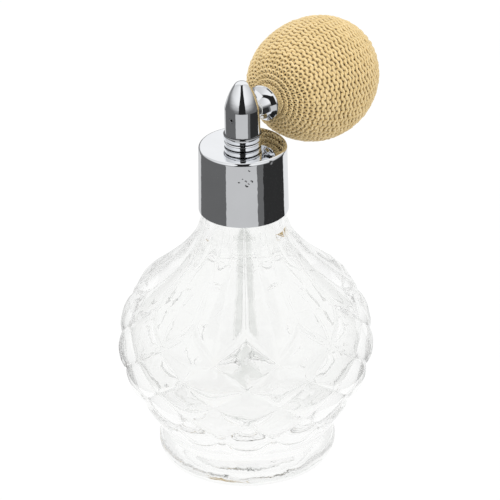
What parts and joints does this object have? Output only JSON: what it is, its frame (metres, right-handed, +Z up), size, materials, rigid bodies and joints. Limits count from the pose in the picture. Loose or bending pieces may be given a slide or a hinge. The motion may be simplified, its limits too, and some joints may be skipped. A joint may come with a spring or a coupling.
{
  "type": "bulb perfume atomiser",
  "caption": "Round pressed glass scent bottle on a short foot, with a screw-on chrome collar, a swivelling spray tower and a knit-covered rubber squeeze bulb.",
  "frame": {"origin": "centre of the foot's flat underside, on the bottle's axis", "axes": "+Z up along the bottle's axis; +X from the tower towards the squeeze bulb; the jet faces -X"},
  "size_m": [0.1005, 0.0816, 0.1365],
  "materials": {
    "glass": "clear pressed glass",
    "chrome": "polished plating",
    "knit": "fine knitted yarn",
    "black_rubber": "matt",
    "white_plastic": "moulded",
    "clear_plastic": "translucent tube",
    "seal_foam": "soft white seal",
    "steel": "bright",
    "brass": "turned"
  },
  "bodies": {
    "bottle": {"glass_bottle": "glass"},
    "gasket": {"neck_gasket": "seal_foam"},
    "stem": {"stem_plug": "white_plastic", "dip_tube": "clear_plastic", "swivel_bush": "chrome", "retaining_ring": "steel", "swivel_o_ring": "black_rubber"},
    "collar": {"collar_shell": "chrome", "threaded_insert": "white_plastic"},
    "tower": {"spray_tower": "chrome", "nozzle_insert": "steel", "liquid_tube": "brass", "air_stub": "brass", "stub_washer": "seal_foam", "bulb_ferrule": "chrome", "ferrule_nut": "brass", "valve_barb": "brass", "ball_stop": "brass", "valve_seat": "brass", "rubber_bulb": "black_rubber", "neck_clamp": "steel", "knit_cover": "knit"},
    "outlet_check_ball": {"outlet_ball": "steel"},
    "bulb_end": {"intake_valve_body": "chrome", "intake_cage": "brass"},
    "intake_check_ball": {"intake_ball": "steel"}
  },
  "joints": [
    {"name": "head_lift_off", "type": "slide", "parent": "bottle", "child": "gasket", "axis": [0, 0, 1], "range_m": [0, 0.092]},
    {"name": "head_rise", "type": "slide", "parent": "gasket", "child": "stem", "axis": [0, 0, 1], "range_m": [0, 0.006]},
    {"name": "collar_unscrew", "type": "hinge", "parent": "stem", "child": "collar", "pos_m": [0, 0, 0.095], "axis": [0, 0, 1], "range_deg": [0, 720]},
    {"name": "head_swivel", "type": "hinge", "parent": "stem", "child": "tower", "pos_m": [0, 0, 0.112], "axis": [0, 0, 1], "continuous": true},
    {"name": "bulb_squeeze", "type": "slide", "parent": "tower", "child": "bulb_end", "axis": [-1, 0, 0], "range_m": [0, 0.014], "stiffness_N_per_m": 300, "deforming": ["rubber_bulb", "knit_cover"]},
    {"name": "outlet_ball_travel", "type": "slide", "parent": "tower", "child": "outlet_check_ball", "axis": [-1, 0, 0], "range_m": [0, 0.0012]},
    {"name": "intake_ball_travel", "type": "slide", "parent": "bulb_end", "child": "intake_check_ball", "axis": [-1, 0, 0], "range_m": [0, 0.0012]}
  ],
  "couplings": [
    {"joint": "head_rise", "follows": "collar_unscrew", "m_per_rad": 0.0004774}
  ]
}
